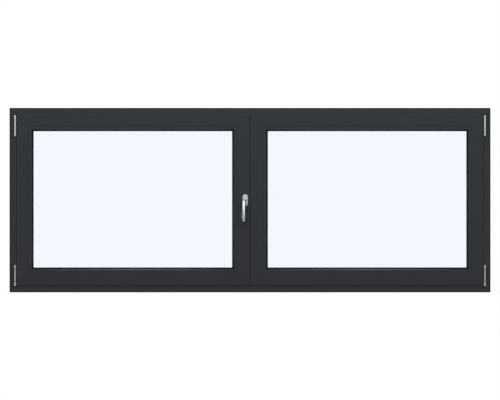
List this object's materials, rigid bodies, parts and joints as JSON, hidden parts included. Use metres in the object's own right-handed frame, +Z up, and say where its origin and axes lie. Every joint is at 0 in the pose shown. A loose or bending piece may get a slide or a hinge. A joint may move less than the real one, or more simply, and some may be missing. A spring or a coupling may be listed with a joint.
{
  "type": "tilt and turn window",
  "caption": "Wide tilt and turn window in anthracite profiles, with sashes that meet on a floating mullion, clear sealed glass, silver side hinges and a turning lever handle.",
  "frame": {"origin": "middle of the frame's underside, at half the frame's depth", "axes": "+X along the width to the right as seen from the room, -Y into the room, +Z up"},
  "size_m": [2.4, 0.1611, 0.92],
  "materials": {
    "anthracite_profile": "smooth matt anthracite film",
    "anthracite_trim": "moulded anthracite plastic",
    "clear_glass": "clear float glass",
    "black_rubber": "matt black seal",
    "spacer_grey": "grey warm-edge spacer",
    "satin_silver": "satin silver anodised",
    "hinge_silver": "silver coated"
  },
  "bodies": {
    "window": {"drain_covers": "anthracite_trim", "floating_mullion": "anthracite_profile", "floating_mullion_end_caps": "anthracite_trim", "floating_mullion_gasket": "black_rubber", "frame_gasket": "black_rubber", "frame_head": "anthracite_profile", "frame_left_jamb": "anthracite_profile", "frame_right_jamb": "anthracite_profile", "frame_sill": "anthracite_profile", "handle_rosette": "satin_silver", "left_glass_spacer": "spacer_grey", "left_glazing_gaskets": "black_rubber", "left_inner_pane": "clear_glass", "left_lower_hinge_bearing": "hinge_silver", "left_lower_hinge_sleeve": "hinge_silver", "left_outer_pane": "clear_glass", "left_sash_bottom_bead": "anthracite_profile", "left_sash_bottom_rail": "anthracite_profile", "left_sash_gasket": "black_rubber", "left_sash_hinge_bead": "anthracite_profile", "left_sash_hinge_stile": "anthracite_profile", "left_sash_lock_bead": "anthracite_profile", "left_sash_lock_stile": "anthracite_profile", "left_sash_top_bead": "anthracite_profile", "left_sash_top_rail": "anthracite_profile", "left_upper_hinge_bearing": "hinge_silver", "left_upper_hinge_knuckle": "hinge_silver", "right_glass_spacer": "spacer_grey", "right_glazing_gaskets": "black_rubber", "right_inner_pane": "clear_glass", "right_lower_hinge_bearing": "hinge_silver", "right_lower_hinge_sleeve": "hinge_silver", "right_outer_pane": "clear_glass", "right_sash_bottom_bead": "anthracite_profile", "right_sash_bottom_rail": "anthracite_profile", "right_sash_gasket": "black_rubber", "right_sash_hinge_bead": "anthracite_profile", "right_sash_hinge_stile": "anthracite_profile", "right_sash_meeting_bead": "anthracite_profile", "right_sash_meeting_stile": "anthracite_profile", "right_sash_top_bead": "anthracite_profile", "right_sash_top_rail": "anthracite_profile", "right_upper_hinge_bearing": "hinge_silver", "right_upper_hinge_knuckle": "hinge_silver"},
    "handle": {"handle_lever": "satin_silver"}
  },
  "joints": [
    {"name": "handle_turn", "type": "hinge", "parent": "window", "child": "handle", "pos_m": [-0.024, -0.069, 0.459], "axis": [0, 1, 0], "range_deg": [0, 180]}
  ]
}
